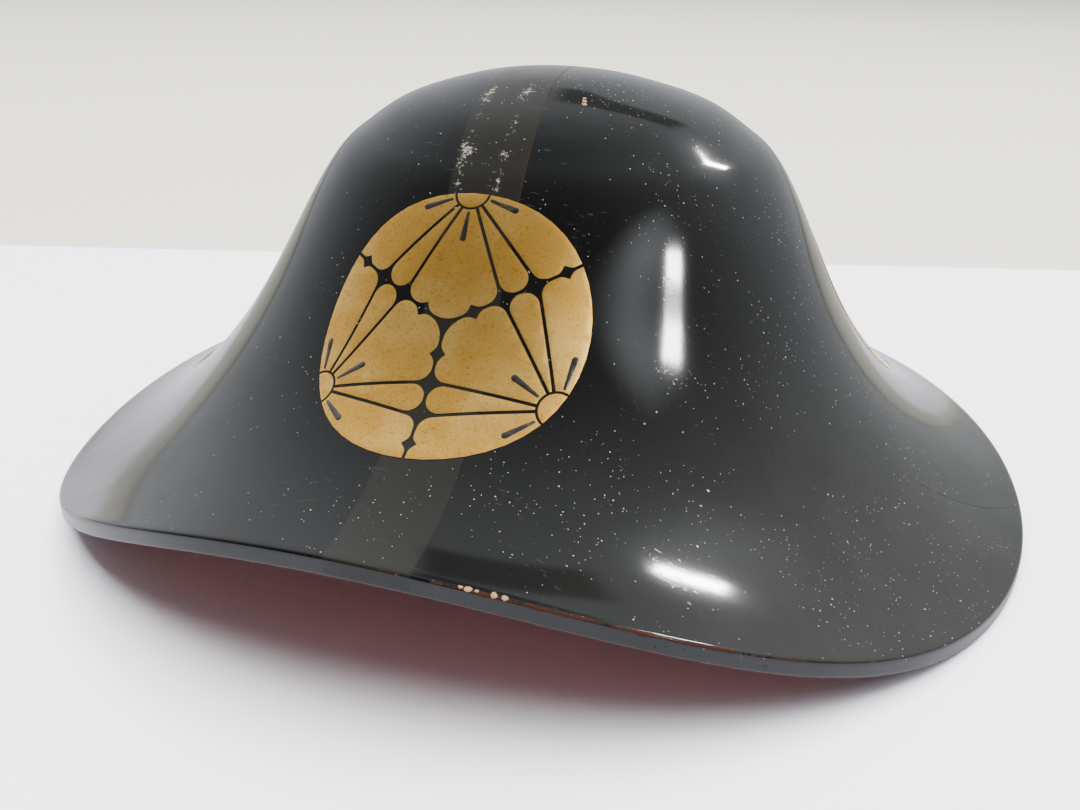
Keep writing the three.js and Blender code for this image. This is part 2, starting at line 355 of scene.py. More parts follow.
# A film of dust on what faces up, and specks, more of them on the wearer's left
def layDust(tree, coords, finish, values):
    film = values["film"]
    facing = add(tree, "TexCoord", (), give="Normal")
    upwards = add(tree, "SeparateXYZ", (facing,), give=2)
    settled = add(tree, "MapRange", (upwards, film["from"], film["to"]), "SMOOTHSTEP")
    x = add(tree, "SeparateXYZ", (coords,))
    leftwards = add(tree, "MapRange", (x, 20 * mm, 130 * mm), "SMOOTHSTEP")
    most = add(tree, "Math", (leftwards, 1, film["least"]), "MULTIPLY_ADD")
    filmNoise = add(
        tree,
        "TexNoise",
        {"Vector": coords, "Scale": 1 / (film["length"] * mm), "Detail": 4, "Roughness": 0.6},
    )
    patchy = add(tree, "Math", (filmNoise, 1, 0.3), "MULTIPLY_ADD")
    thickness = add(tree, "Math", (patchy, most), "MULTIPLY")
    dust = add(tree, "Math", (settled, thickness), "MULTIPLY")
    layer(tree, finish, dust, film["colour"])

    side = add(tree, "MapRange", (x, -70 * mm, 50 * mm), "SMOOTHSTEP")
    patchesNoise = add(tree, "TexNoise", {"Vector": coords, "Scale": 1 / (28 * mm), "Detail": 3})
    patches = add(tree, "MapRange", (patchesNoise, 0.35, 0.65), "SMOOTHSTEP")
    moreLeft = add(tree, "Math", (side, 0.75, 0.25), "MULTIPLY_ADD")
    dusty = add(tree, "Math", (moreLeft, patches), "MULTIPLY")
    raggedNoise = add(
        tree, "TexNoise", {"Vector": coords, "Scale": 1 / (0.5 * mm), "Detail": 3, "Roughness": 0.7}
    )
    ragged = add(tree, "Math", (raggedNoise, 2.4, -0.2), "MULTIPLY_ADD")
    for speck in values["specks"]:
        sockets = {"Vector": coords, "Scale": 1 / (speck["spacing"] * mm)}
        cells = add(tree, "TexVoronoi", sockets).node.outputs
        chance, size = add(tree, "SeparateColor", (cells["Color"],)).node.outputs[:2]
        radius = add(tree, "Math", (size, speck["radius"], speck["radius"] / 2), "MULTIPLY_ADD")
        radius = add(tree, "Math", (radius, speck["spacing"]), "DIVIDE")
        away = add(tree, "Math", (cells["Distance"], ragged), "MULTIPLY")
        inside = add(tree, "Math", (away, radius), "LESS_THAN")
        speckShare = add(tree, "Math", (dusty, speck["share"]), "MULTIPLY")
        kept = add(tree, "Math", (chance, speckShare), "LESS_THAN")
        share = add(tree, "Math", (inside, kept), "MULTIPLY")
        layer(tree, finish, share, speck["colour"], 0.8)


# Hairline scratches: the peaks of a fine noise drawn out along a few directions, broken up by
# a wider one
def layHairs(tree, coords, finish, values):
    for turn in values["hairs"]:
        stretch = (values["hairStretch"], 1, 1)
        drawnOut = add(tree, "Mapping", {"Vector": coords, "Rotation": turn, "Scale": stretch})
        level = add(
            tree,
            "TexNoise",
            {"Vector": drawnOut, "Scale": 1 / (values["hairWidth"] * 2 * mm), "Detail": 1},
        )
        least = values["hairShare"]
        line = add(tree, "MapRange", (level, least, least + 0.05), "SMOOTHSTEP")
        brokenNoise = add(tree, "TexNoise", {"Vector": coords, "Scale": 1 / (20 * mm), "Detail": 3})
        broken = add(tree, "MapRange", (brokenNoise, 0.52, 0.6), "SMOOTHSTEP")
        share = add(tree, "Math", (line, broken), "MULTIPLY")
        layer(tree, finish, share, values["hairColour"], 0.25, -values["hairDepth"])


# The worn lip, worst over the wearer's left brow, the rubbed foot of the edge, and a painted faint
# bluish sheen on the edge face between them
def layEdgeWearAndSheen(tree, coords, finish, values):
    x = add(tree, "SeparateXYZ", (coords,))
    lip = add(tree, "Attribute", (), attribute_name="lip", give="Fac")
    foot = add(tree, "Attribute", (), attribute_name="foot", give="Fac")
    raggedNoise = add(
        tree, "TexNoise", {"Vector": coords, "Scale": 1 / (6 * mm), "Detail": 6, "Roughness": 0.75}
    )
    ragged = add(tree, "Math", (raggedNoise, 0.5), "SUBTRACT")
    lipAway = add(tree, "Math", (lip,), "ABSOLUTE")
    fromLip = add(tree, "Math", (ragged, 3.2, lipAway), "MULTIPLY_ADD")
    starts = add(tree, "MapRange", (x, 15 * mm, 35 * mm), "SMOOTHSTEP")
    ends = add(tree, "MapRange", (x, 140 * mm, 80 * mm), "SMOOTHSTEP")
    worst = add(tree, "Math", (starts, ends), "MULTIPLY")
    reach = add(tree, "Math", (worst, values["lipWear"], -0.25), "MULTIPLY_ADD")
    pastReach = add(tree, "Math", (fromLip, reach), "SUBTRACT")
    worn = add(tree, "MapRange", (pastReach, 0.1, -0.1), "SMOOTHSTEP")
    layer(tree, finish, worn, values["lipColour"], 0.8, -0.04)
    # The face between lip and foot gets a painted faint bluish sheen in its colour
    belowLip = add(tree, "MapRange", (lip, 0.4, 1.4), "SMOOTHSTEP")
    aboveFoot = add(tree, "MapRange", (foot, -0.4, -1.4), "SMOOTHSTEP")
    face = add(tree, "Math", (belowLip, aboveFoot), "MULTIPLY")
    layer(tree, finish, face, values["edgeColour"])
    footAway = add(tree, "Math", (foot,), "ABSOLUTE")
    fromFoot = add(tree, "Math", (ragged, 0.6, footAway), "MULTIPLY_ADD")
    rubbed = add(tree, "MapRange", (fromFoot, 0.35, 0.1), "SMOOTHSTEP")
    layer(tree, finish, rubbed, values["footColour"], 0.6)


# Chips down to the ground coat, and shallow dents
def layChips(tree, coords, finish, values):
    raggedNoise = add(
        tree, "TexNoise", {"Vector": coords, "Scale": 1 / (3 * mm), "Detail": 4, "Roughness": 0.7}
    )
    ragged = add(tree, "Math", (raggedNoise, 0.5), "SUBTRACT")
    for spot in values["chips"] + values["dents"]:
        centre = (spot["x"] * mm, spot["y"] * mm, spot["z"] * mm)
        away = add(tree, "VectorMath", (coords, centre), "DISTANCE", "Value")
        radius = spot["radius"] * mm
        if "depth" in spot:
            sunk = add(tree, "MapRange", (away, radius, 0), "SMOOTHSTEP")
            layer(tree, finish, sunk, relief=-spot["depth"])
            continue
        away = add(tree, "Math", (ragged, 2.2 * mm, away), "MULTIPLY_ADD")
        share = add(tree, "MapRange", (away, radius, radius - 0.25 * mm), "SMOOTHSTEP")
        layer(tree, finish, share, values["chipColour"], 1.0, -values["chipDepth"])


# Fine bowed cracks in the brim: where an upright plane meets the surface, seen from above
def layCracks(tree, coords, finish, values):
    for crack in values["cracks"]:
        start = Vector(crack["from"][:2])
        along = Vector(crack["to"][:2]) - start
        length = along.length
        along = along / length
        moved = add(tree, "Mapping", {"Vector": coords, "Location": (-start.x * mm, -start.y * mm, 0)})
        way = (along.x, along.y, 0)
        side = (-along.y, along.x, 0)
        done = add(tree, "VectorMath", (moved, way), "DOT_PRODUCT", "Value")
        aside = add(tree, "VectorMath", (moved, side), "DOT_PRODUCT", "Value")
        share = add(tree, "Math", (done, 2 / (length * mm), -1), "MULTIPLY_ADD")
        squared = add(tree, "Math", (share, share), "MULTIPLY")
        bow = add(tree, "Math", (squared, -1, 1), "MULTIPLY_ADD")
        off = add(tree, "Math", (bow, crack["bow"] * mm, aside), "MULTIPLY_ADD")
        raggedNoise = add(
            tree,
            "TexNoise",
            {"Vector": coords, "Scale": 1 / (5 * mm), "Detail": 4, "Roughness": 0.7},
        )
        ragged = add(tree, "Math", (raggedNoise, 0.5), "SUBTRACT")
        signed = add(tree, "Math", (ragged, 1.5 * mm, off), "MULTIPLY_ADD")
        off = add(tree, "Math", (signed,), "ABSOLUTE")
        line = add(tree, "MapRange", (off, values["crackWidth"] * mm, 0), "SMOOTHSTEP")
        fromMiddle = add(tree, "Math", (share,), "ABSOLUTE")
        within = add(tree, "MapRange", (fromMiddle, 1, 0.85), "SMOOTHSTEP")
        line = add(tree, "Math", (line, within), "MULTIPLY")
        layer(tree, finish, line, values["crackColour"], 0.8, -values["crackDepth"])


# Black lacquer, polished to a mirror and then aged: hazy, dusty, finely scratched, chipped and
# rubbed through along the brim's lip
def blackLacquer(values):
    material, tree = newMaterial("blackLacquer")
    coords = add(tree, "TexCoord", (), give="Object")
    hazeNoise = add(
        tree,
        "TexNoise",
        {"Vector": coords, "Scale": 1 / (values["hazeLength"] * mm), "Detail": 5, "Roughness": 0.6},
    )
    haze = add(tree, "MapRange", (hazeNoise, 0.35, 0.7), "SMOOTHSTEP")
    peel = add(
        tree,
        "TexNoise",
        {"Vector": coords, "Scale": 1 / (values["orangePeelLength"] * mm), "Detail": 2},
    )
    drawnDown = add(tree, "Mapping", {"Vector": coords, "Scale": (1, 1, 0.07)})
    rubs = add(
        tree, "TexNoise", {"Vector": drawnDown, "Scale": 1 / (values["rubLength"] * mm), "Detail": 2}
    )
    height = add(tree, "Math", (peel, values["orangePeelDepth"]), "MULTIPLY")
    colour = add(
        tree, "Mix", {0: haze, 6: srgb(values["colour"]), 7: srgb(values["hazeColour"])}, "RGBA", 2
    )
    gloss = add(tree, "Math", (haze, -0.15 * values["gloss"], values["gloss"]), "MULTIPLY_ADD")
    relief = add(tree, "Math", (rubs, values["rubDepth"], height), "MULTIPLY_ADD")
    finish = {"colour": colour, "gloss": gloss, "height": relief}
    layBand(tree, coords, finish, values)
    layHairs(tree, coords, finish, values)
    layDust(tree, coords, finish, values)
    layEdgeWearAndSheen(tree, coords, finish, values)
    layChips(tree, coords, finish, values)
    layCracks(tree, coords, finish, values)
    bump = add(tree, "Bump", {"Height": finish["height"], "Distance": mm, "Strength": 1.0})
    roughness = add(tree, "Math", (finish["gloss"], -0.9, 0.75), "MULTIPLY_ADD")
    finishMaterial(
        tree,
        {
            "Base Color": finish["colour"],
            "Roughness": roughness,
            "Specular IOR Level": values["undercoatShine"],
            "Coat Weight": finish["gloss"],
            "Coat Roughness": values["coatRoughness"],
            "Normal": bump,
            "Coat Normal": bump,
        },
    )
    return material


redLacquerValues = {
    "colour": "#8c2a1e",
    "darkColour": "#54170f",
    "cloudLength": 35,
    "roughness": 0.3,
    "brushLength": 9,
    "brushDepth": 0.03,
}


# Dark red urushi lacquer inside, brushed on, darker in patches
def redLacquer(values):
    material, tree = newMaterial("redLacquer")
    coords = add(tree, "TexCoord", (), give="Object")
    scale = 1 / (values["cloudLength"] * mm)
    sockets = {"Vector": coords, "Scale": scale, "Detail": 5, "Roughness": 0.65}
    patchesNoise = add(tree, "TexNoise", sockets)
    patches = add(tree, "MapRange", (patchesNoise, 0.35, 0.75), "SMOOTHSTEP")
    colours = {0: patches, 6: srgb(values["colour"]), 7: srgb(values["darkColour"])}
    colour = add(tree, "Mix", colours, "RGBA", 2)
    stretched = add(tree, "Mapping", {"Vector": coords, "Scale": (6, 6, 1)})
    sockets = {"Vector": stretched, "Scale": 1 / (values["brushLength"] * mm), "Detail": 3}
    strokes = add(tree, "TexNoise", sockets)
    height = add(tree, "Math", (strokes, values["brushDepth"]), "MULTIPLY")
    rough = add(tree, "Math", (patches, 0.15, values["roughness"]), "MULTIPLY_ADD")
    bump = add(tree, "Bump", {"Height": height, "Distance": mm, "Strength": 1.0})
    finishMaterial(tree, {
        "Base Color": colour,
        "Roughness": rough,
        "Coat Weight": 0.5,
        "Coat Roughness": 0.12,
        "Normal": bump,
    })
    return material


shellValues = {
    "columns": 360,
    "outerRows": 130,
    "innerRows": 56,
    "roundSteps": 4,
    "edgeSteps": 4,
    "innerRound": 0.8,
}


# A quarter round from one point to another, drawn towards the corner between them
def quarter(start, between, end, steps):
    shares = np.linspace(0, 1, steps + 1)[1:, None, None]
    return start * (1 - shares) ** 2 + 2 * between * shares * (1 - shares) + end * shares ** 2


# Crown and brim: the outer skin, the thick edge that the brim rests on, and the hollow inside
def makeShell(values):
    phis = np.linspace(0, 2 * math.pi, values["columns"] + 1)
    outerShares = []
    innerShares = []
    for phi in phis:
        shares, lengths, points = meridianLengths(phi)
        inside = roundBrim(reachTerms, phi) - np.hypot(points[:, 0], points[:, 1] - middleY)
        for rows, inset, found in (
            (values["outerRows"], form["edgeRound"], outerShares),
            (values["innerRows"], form["edgeWidth"], innerShares),
        ):
            last = np.interp(-inset, -inside, lengths)
            found.append(np.interp(last * np.arange(rows + 1) / rows, lengths, shares))
    outerShares = np.array(outerShares).T
    innerShares = np.array(innerShares).T
    outer = np.array([onShell(row, phis) for row in outerShares])
    inner = np.array([
        bell(row, phis) - form["wall"] * bellNormal(row, phis) for row in innerShares[::-1]
    ])
    inner[-1] = inner[-1].mean(axis=0)

    def edge(inset, heights):
        rho = roundBrim(reachTerms, phis) - inset
        return np.stack([rho * np.sin(phis), middleY - rho * np.cos(phis), heights], -1)

    wavyBottom = roundBrim(riseTerms, phis) - form["restingWear"]
    bottom = np.maximum(0, wavyBottom)
    top = wavyBottom + form["edgeHeight"]
    soft = form["edgeRound"]
    small = values["innerRound"]
    width = form["edgeWidth"]
    steps = values["roundSteps"]
    lip = quarter(outer[-1], edge(0, top), edge(0, top - soft), steps)
    faceRows = np.linspace(0, 1, values["edgeSteps"] + 1)[1:, None, None]
    face = lip[-1] * (1 - faceRows) + edge(0, bottom + soft) * faceRows
    foot = quarter(face[-1], edge(0, bottom), edge(soft, bottom), steps)
    under = edge(width - small, bottom)[None]
    inside = quarter(under[-1], edge(width, bottom), edge(width, bottom + small), steps)
    rows = np.concatenate([outer, lip, face, foot, under, inside, inner])

    firstRed = len(outer) + len(lip) + len(face) + steps
    lipRow = len(outer) + steps // 2 - 1
    footRow = len(outer) + len(lip) + len(face) + steps // 2 - 1
    along = np.linalg.norm(np.diff(rows, axis=0), axis=-1)
    lengths = np.concatenate([np.zeros((1, len(phis))), np.cumsum(along, axis=0)])

    bm = bmesh.new()
    bmesh.ops.create_grid(bm, x_segments=values["columns"], y_segments=len(rows) - 1, size=1)
    lipLayer = bm.verts.layers.float.new("lip")
    footLayer = bm.verts.layers.float.new("foot")
    rowLayer = bm.verts.layers.int.new("row")
    for vert in bm.verts:
        place = round((vert.co.x + 1) / 2 * values["columns"])
        row = round((vert.co.y + 1) / 2 * (len(rows) - 1))
        vert.co = Vector(rows[row, place]) * mm
        vert[lipLayer] = lengths[row, place] - lengths[lipRow, place]
        vert[footLayer] = lengths[row, place] - lengths[footRow, place]
        vert[rowLayer] = row
    for face in bm.faces:
        face.material_index = 1 if min(vert[rowLayer] for vert in face.verts) >= firstRed else 0
        face.smooth = True
    bmesh.ops.remove_doubles(bm, verts=bm.verts, dist=1e-6)
    bmesh.ops.recalc_face_normals(bm, faces=bm.faces)
    shell = newObject("bell", bm)
    shell.data.materials.append(blackLacquer(blackLacquerValues))
    shell.data.materials.append(redLacquer(redLacquerValues))
    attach(shell, "root")
    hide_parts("shell")
    return shell


def newObject(name, bm):
    mesh = bpy.data.meshes.new(name)
    bm.to_mesh(mesh)
    bm.free()
    thing = bpy.data.objects.new(name, mesh)
    bpy.context.scene.collection.objects.link(thing)
    return thing


# The crest: three flowers stand on the rim of a disc and look inwards, and their petals meet
# along three seams. Shares are of the radius.
crestValues = {
    "radius": 42.8,
    "tall": 1.04,
    "drop": 124.7,
    "places": [
        {"name": "crestFront", "node": "crest_front", "turn": -0.5, "fall": 1, "lean": -3},
        {"name": "crestLeftRear", "node": "crest_left_rear", "turn": 121, "fall": 1.267, "lean": 0},
        {"name": "crestRightRear", "node": "crest_right_rear", "turn": -121, "fall": 1.267, "lean": 0},
    ],
    "middleShift": (-0.4, 1.1),
    "top": 0.16,
    "low": -0.1,
    "line": 0.9,
    "root": 0.12,
    "rootLine": 0.015,
    "innerNotch": {"out": 0.215, "along": 0.06, "across": 0.045, "round": 0.09},
    "innerStar": {"out": 0.42, "round": 0.1},
    "outerStar": {"out": 0.68, "round": 0.1},
    "outerNotch": {"out": 0.885, "along": 0.055, "across": 0.04, "round": 0.06},
    "middleRound": 0.2,
    "stamens": [-69, 0, 69],
    "stamenFrom": 0.15,
    "stamenTo": 0.36,
    "stamenRoot": 0.01,
    "stamenTip": 0.023,
    "stamenRise": 0.05,
    "border": 0.2,
    "borderDrop": 0.03,
    "cell": 2.5,
    "arcStep": 7,
}
flowers = 3
wrapStrides = 6


# A point at an angle from straight up, clockwise
def polar(angle, radius):
    return np.array([math.sin(angle), math.cos(angle)]) * radius


def arcAround(middle, radius, start, end):
    steps = max(2, round(abs(end - start) / math.radians(crestValues["arcStep"])))
    return [middle + polar(angle, radius) for angle in np.linspace(start, end, steps + 1)]


# Moves each side of a clockwise outline inwards by its own gap
def insetCorners(corners):
    moved = []
    for i, corner in enumerate(corners):
        before = corners[i - 1]
        after = corners[(i + 1) % len(corners)]
        first = corner["at"] - before["at"]
        second = after["at"] - corner["at"]
        first = first / np.linalg.norm(first)
        second = second / np.linalg.norm(second)
        inFirst = np.array([first[1], -first[0]]) * before["gap"]
        inSecond = np.array([second[1], -second[0]]) * corner["gap"]
        turn = first[0] * second[1] - first[1] * second[0]
        shift = inFirst
        if abs(turn) > 1e-3:
            between = inSecond - inFirst
            shift = inFirst + first * (between[0] * second[1] - between[1] * second[0]) / turn
        moved.append({**corner, "at": corner["at"] + shift})
    return moved


# An outline with its corners rounded
def roundedOutline(corners):
    points = []
    for i, corner in enumerate(corners):
        here = corner["at"]
        if not corner["round"]:
            points.append(here)
            continue
        back = corners[i - 1]["at"] - here
        ahead = corners[(i + 1) % len(corners)]["at"] - here
        back = back / np.linalg.norm(back)
        ahead = ahead / np.linalg.norm(ahead)
        halfAngle = math.acos(np.clip(back @ ahead, -1, 1)) / 2
        reach = corner["round"] / math.tan(halfAngle)
        middle = here + (back + ahead) / np.linalg.norm(back + ahead) * reach / math.cos(halfAngle)
        start = here + back * reach - middle
        end = here + ahead * reach - middle
        swing = math.atan2(start[0] * end[1] - start[1] * end[0], start @ end)
        steps = max(2, math.ceil(abs(swing) / math.radians(crestValues["arcStep"])))
        for angle in np.linspace(0, swing, steps + 1):
            turn = np.array([[math.cos(angle), -math.sin(angle)], [math.sin(angle), math.cos(angle)]])
            points.append(middle + turn @ start)
    return points


def cornerAt(at, gap=0.0, softness=0.0):
    return {"at": at, "gap": gap, "round": softness}


# A notch in a petal's side where it lies on the seam, read towards the middle
def notchCorners(notch, seam, inward, gap):
    return [
        cornerAt(polar(seam, notch["out"] + notch["along"]), 0, notch["round"]),
        cornerAt(polar(seam, notch["out"]) + inward * (notch["across"] + gap), 0),
        cornerAt(polar(seam, notch["out"] - notch["along"]), gap, notch["round"]),
    ]


def mirrored(outline):
    return [np.array([-point[0], point[1]]) for point in reversed(outline)]


# The petals and the root of the flower whose root is straight up, as clockwise outlines
def flowerOutlines(values):
    gap = values["line"] / values["radius"] / 2
    root = polar(0, 1)
    seam = math.pi / flowers
    beside = polar(seam - math.pi / 2, 1)
    petalRoot = values["root"] + values["rootLine"]
    innerStar = values["innerStar"]
    outerStar = values["outerStar"]
    innerAt = polar(seam, innerStar["out"])
    outerAt = polar(seam, outerStar["out"])

    def rayAngle(at):
        way = at - root
        return math.atan2(way[0], way[1])

    rimAngle = 2 * math.asin(petalRoot / 2)
    toInner = rayAngle(innerAt)
    toOuter = rayAngle(outerAt)
    toRim = rayAngle(polar(rimAngle, 1))

    def rootArc(start, end):
        arc = [cornerAt(at) for at in arcAround(root, petalRoot, start, end)]
        arc[-1]["gap"] = gap
        return arc

    # The wide petal in the middle, its right half and then its left
    halfWide = [cornerAt(innerAt, gap, innerStar["round"])]
    halfWide += notchCorners(values["innerNotch"], seam, beside, gap)
    leftHalf = [
        cornerAt(np.array([-c["at"][0], c["at"][1]]), 0, c["round"]) for c in reversed(halfWide)
    ]
    for place, gapHere in zip(leftHalf, (0, 0, gap, gap)):
        place["gap"] = gapHere
    wide = rootArc(2 * math.pi - toInner, toInner)
    wide += halfWide + [cornerAt(np.zeros(2), gap, values["middleRound"])] + leftHalf

    narrow = rootArc(toInner, toOuter)
    narrow += [cornerAt(outerAt, gap, outerStar["round"]), cornerAt(innerAt, gap, innerStar["round"])]

    side = rootArc(toOuter, toRim)
    side[-1]["gap"] = 0
    side += [cornerAt(at) for at in arcAround(np.zeros(2), 1, rimAngle, seam)[1:]]
    side[-1]["gap"] = gap
    side += notchCorners(values["outerNotch"], seam, beside, gap)
    side += [cornerAt(outerAt, gap, outerStar["round"])]

    outlines = [roundedOutline(insetCorners(wide))]
    for petal in (narrow, side):
        outline = roundedOutline(insetCorners(petal))
        outlines += [outline, mirrored(outline)]

    discRim = 2 * math.asin(values["root"] / 2)
    discSwing = rayAngle(polar(discRim, 1))
    disc = arcAround(root, values["root"], discSwing, 2 * math.pi - discSwing)
    disc += arcAround(np.zeros(2), 1, -discRim, discRim)[1:-1]
    outlines.append(disc)
    return outlines


# The clubs of black lacquer that stand for the stamens
def stamenOutlines(values):
    root = polar(0, 1)
    outlines = []
    for lean in values["stamens"]:
        way = math.pi - math.radians(lean)
        start = root + polar(way, values["stamenFrom"])
        end = root + polar(way, values["stamenTo"])
        outline = [start + polar(way - math.pi / 2, values["stamenRoot"])]
        outline += arcAround(end, values["stamenTip"], way - math.pi / 2, way + math.pi / 2)
        outline.append(start + polar(way + math.pi / 2, values["stamenRoot"]))
        outlines.append(outline)
    return outlines


# Adds one outline as a thin raised plate on the flat layout
def addPlate(bm, outline, height, material, values):
    verts = [bm.verts.new((*point, 0)) for point in outline]
    face = bm.faces.new(verts)
    face.material_index = material
    face.normal_update()
    border = bmesh.ops.inset_region(
        bm, faces=[face], thickness=values["border"], use_boundary=True, use_even_offset=True
    )
    rim = bm.verts.layers.float["rim"]
    rise = bm.verts.layers.float["rise"]
    for ringFace in border["faces"]:
        ringFace.material_index = material
        for vert in ringFace.verts:
            vert[rise] = height
    for vert in face.verts:
        vert[rise] = height
    for vert in verts:
        vert[rim] = 1
        vert[rise] = height - values["borderDrop"]


def turned(point, angle):
    return point @ np.array([[math.cos(angle), -math.sin(angle)], [math.sin(angle), math.cos(angle)]])


# Lays points of the flat layout on the hat: up by length along the crest's middle meridian,
# and sideways by length along the hoops
def wrap(flat, away, place, values):
    turn = math.radians(place["turn"])
    shares, lengths, points = meridianLengths(turn)
    down = place["fall"] * values["drop"] - flat[:, 1] * values["tall"]
    t = np.interp(down, lengths, shares)
    phi = np.full(len(flat), turn)
    for stride in range(wrapStrides):
        here = bell(t, phi)
        phi = phi + flat[:, 0] / wrapStrides / np.hypot(here[:, 0], here[:, 1] - middleY)
    return onShell(t, phi, away)


goldValues = {
    "colour": "#d8a447",
    "paleColour": "#e8bb64",
    "speckColour": "#7d5521",
    "rimColour": "#4a3216",
    "roughness": 0.42,
    "speckLength": 0.8,
    "cloudLength": 18,
    "leafLength": 1.1,
    "leafDepth": 0.035,
    "scuffColour": "#4a3214",
    "scuffs": [
        {"x": -8, "y": -102.5, "z": 101, "radius": 2.6},
        {"x": 4, "y": -119, "z": 82, "radius": 1.6},
        {"x": -7, "y": -146, "z": 66, "radius": 1.8},
        {"x": -24, "y": -88, "z": 108, "radius": 1.5},
    ],
}


# Gold leaf burnished over lacquer, finely speckled, rubbed pale in places and dark at its rims
def goldLeaf(values):
    material, tree = newMaterial("goldLeaf")
    coords = add(tree, "TexCoord", (), give="Object")
    scale = 1 / (values["cloudLength"] * mm)
    sockets = {"Vector": coords, "Scale": scale, "Detail": 4, "Roughness": 0.6}
    rubbedNoise = add(tree, "TexNoise", sockets)
    rubbed = add(tree, "MapRange", (rubbedNoise, 0.4, 0.7), "SMOOTHSTEP")
    colours = {0: rubbed, 6: srgb(values["colour"]), 7: srgb(values["paleColour"])}
    colour = add(tree, "Mix", colours, "RGBA", 2)
    scale = 1 / (values["speckLength"] * mm)
    sockets = {"Vector": coords, "Scale": scale, "Detail": 4, "Roughness": 0.7}
    grain = add(tree, "TexNoise", sockets)
    speckled = add(tree, "MapRange", (grain, 0.5, 0.75), "SMOOTHSTEP")
    specks = add(tree, "Math", (speckled, 0.8), "MULTIPLY")
    colour = add(tree, "Mix", {0: specks, 6: colour, 7: srgb(values["speckColour"])}, "RGBA", 2)
    scratchyNoise = add(
        tree, "TexNoise", {"Vector": coords, "Scale": 1 / (2.5 * mm), "Detail": 5, "Roughness": 0.8}
    )
    scratchy = add(tree, "Math", (scratchyNoise, 0.5), "SUBTRACT")
    for scuff in values["scuffs"]:
        centre = (scuff["x"] * mm, scuff["y"] * mm, scuff["z"] * mm)
        away = add(tree, "VectorMath", (coords, centre), "DISTANCE", "Value")
        away = add(tree, "Math", (scratchy, 9 * mm, away), "MULTIPLY_ADD")
        share = add(tree, "MapRange", (away, scuff["radius"] * mm, 0), "SMOOTHSTEP")
        colour = add(tree, "Mix", {0: share, 6: colour, 7: srgb(values["scuffColour"])}, "RGBA", 2)
    rim = add(tree, "Attribute", (), attribute_name="rim", give="Fac")
    dark = add(tree, "MapRange", (rim, 0.3, 0.9), "SMOOTHSTEP")
    colour = add(tree, "Mix", {0: dark, 6: colour, 7: srgb(values["rimColour"])}, "RGBA", 2)
    leaf = add(
        tree,
        "TexNoise",
        {"Vector": coords, "Scale": 1 / (values["leafLength"] * mm), "Detail": 4, "Roughness": 0.6},
    )
    height = add(tree, "Math", (leaf, values["leafDepth"]), "MULTIPLY")
    height = add(tree, "Math", (specks, -0.01, height), "MULTIPLY_ADD")
    rough = add(tree, "Math", (grain, 0.25, values["roughness"] - 0.12), "MULTIPLY_ADD")
    bump = add(tree, "Bump", {"Height": height, "Distance": mm, "Strength": 1.0})
    finishMaterial(tree, {
        "Base Color": colour,
        "Metallic": 1.0,
        "Roughness": rough,
        "Normal": bump,
    })
    return material


strokeValues = {"colour": "#0b0a09", "thinColour": "#2a2015", "roughness": 0.3, "depth": 0.02}


# Black lacquer brushed over the gold, brown where it is thin
def strokeLacquer(values):
    material, tree = newMaterial("strokeLacquer")
    coords = add(tree, "TexCoord", (), give="Object")
    thinNoise = add(tree, "TexNoise", {"Vector": coords, "Scale": 1 / (2 * mm), "Detail": 3})
    thin = add(tree, "MapRange", (thinNoise, 0.5, 0.75), "SMOOTHSTEP")
    colours = {0: thin, 6: srgb(values["colour"]), 7: srgb(values["thinColour"])}
    colour = add(tree, "Mix", colours, "RGBA", 2)
    brushNoise = add(tree, "TexNoise", {"Vector": coords, "Scale": 1 / (0.8 * mm), "Detail": 2})
    height = add(tree, "Math", (brushNoise, values["depth"]), "MULTIPLY")
    bump = add(tree, "Bump", {"Height": height, "Distance": mm, "Strength": 1.0})
    finishMaterial(tree, {"Base Color": colour, "Roughness": values["roughness"], "Normal": bump})
    return material


def layout(outlines, height, material, values):
    bm = bmesh.new()
    bm.verts.layers.float.new("rim")
    bm.verts.layers.float.new("rise")
    for flower in range(flowers):
        angle = 2 * math.pi * flower / flowers
        for outline in outlines:
            points = [turned(point, angle) * values["radius"] for point in outline]
            addPlate(bm, points, height, material, values)
    mesh = bpy.data.meshes.new("layout")
    bm.to_mesh(mesh)
    bm.free()
    return mesh


